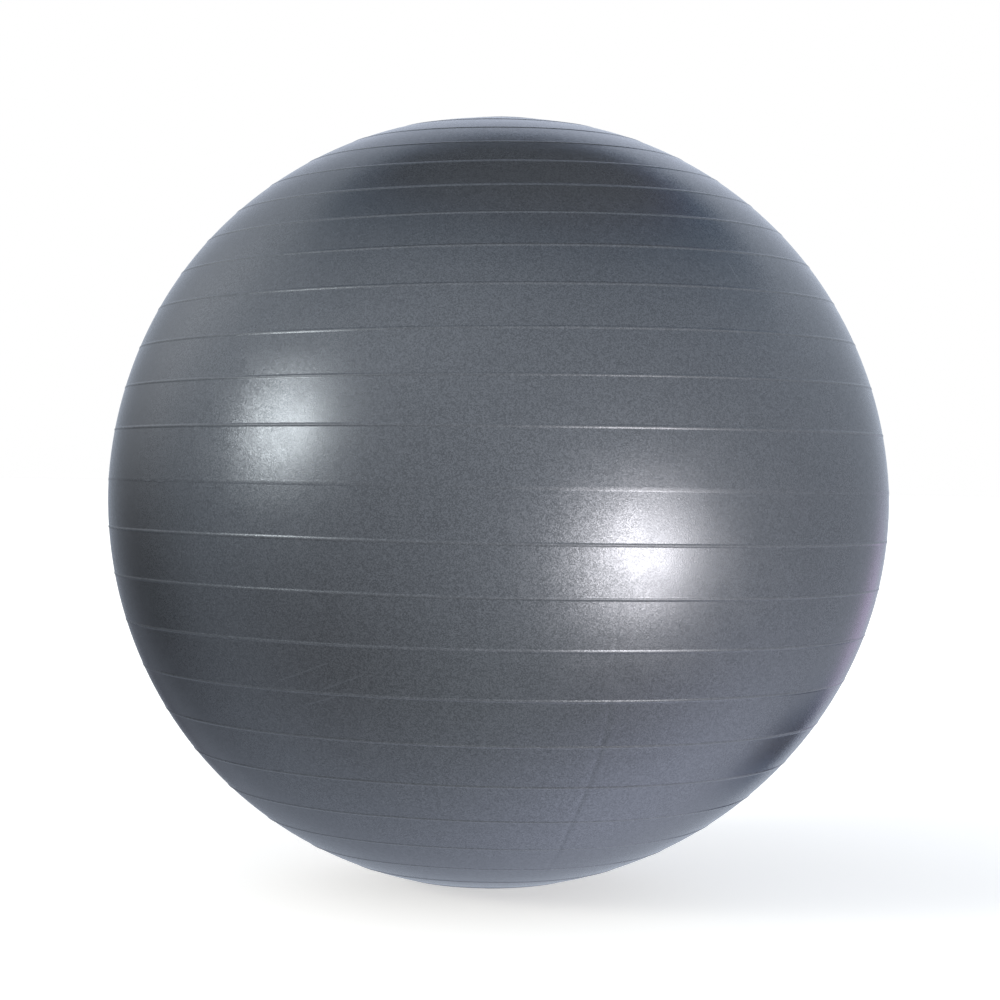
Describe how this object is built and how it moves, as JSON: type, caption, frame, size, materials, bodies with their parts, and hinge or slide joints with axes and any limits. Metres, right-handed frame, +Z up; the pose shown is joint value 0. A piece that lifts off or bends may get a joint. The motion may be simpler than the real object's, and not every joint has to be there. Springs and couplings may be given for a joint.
{
  "type": "exercise ball",
  "caption": "Inflated anti-burst exercise ball: ribbed one-piece vinyl skin with a mould parting line, a flush valve seat at the crown and a pull-out barbed valve plug.",
  "frame": {"origin": "centre of the contact patch, on the floor", "axes": "+Z up along the axis of the moulded rings, from the contact patch through the valve; the ball is round about it, and +X points to the notch in the valve seat"},
  "size_m": [0.65, 0.65, 0.6431],
  "materials": {
    "skin": "pearl pewter-grey soft vinyl, semi-gloss",
    "seat": "smooth vinyl, satin",
    "plug": "white polyethylene, satin"
  },
  "bodies": {
    "ball": {"ball_shell": "skin", "valve_seat": "seat"},
    "plug": {"valve_plug": "plug"}
  },
  "joints": [
    {"name": "plug_pull", "type": "slide", "parent": "ball", "child": "plug", "axis": [0, 0, 1], "range_m": [0, 0.03]}
  ]
}
